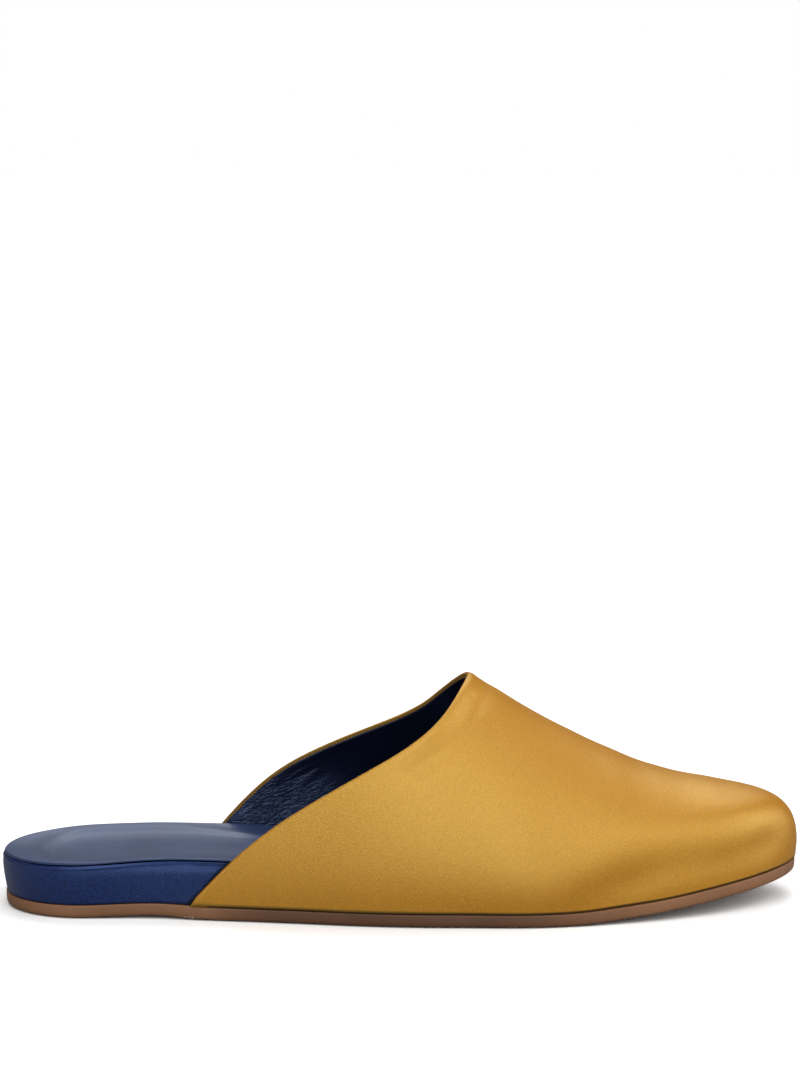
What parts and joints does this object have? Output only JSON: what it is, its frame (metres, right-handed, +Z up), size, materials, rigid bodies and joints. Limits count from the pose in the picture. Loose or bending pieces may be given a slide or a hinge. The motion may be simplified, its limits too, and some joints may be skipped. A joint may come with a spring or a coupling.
{
  "type": "babouche slipper",
  "caption": "Open-heeled slipper for the right foot: a satin upper over the front half, a rounded toe, a cupped insole on a covered footbed and a thin leather sole.",
  "frame": {"origin": "on the floor, under the middle of the whole slipper", "axes": "+X from heel to toe, +Y to the inner side of the foot, +Z up"},
  "size_m": [0.2808, 0.1004, 0.0794],
  "materials": {
    "gold_satin": "mustard gold satin with a fine diagonal twill, soft sheen",
    "blue_satin": "deep blue satin, soft sheen along the rim",
    "navy_leather": "slate navy smooth leather, satin gloss",
    "sole_leather": "tan brown sole leather with a smooth dyed edge"
  },
  "bodies": {
    "root": {"outsole": "sole_leather", "footbed": "blue_satin", "insole": "navy_leather", "upper": "gold_satin"}
  },
  "joints": []
}
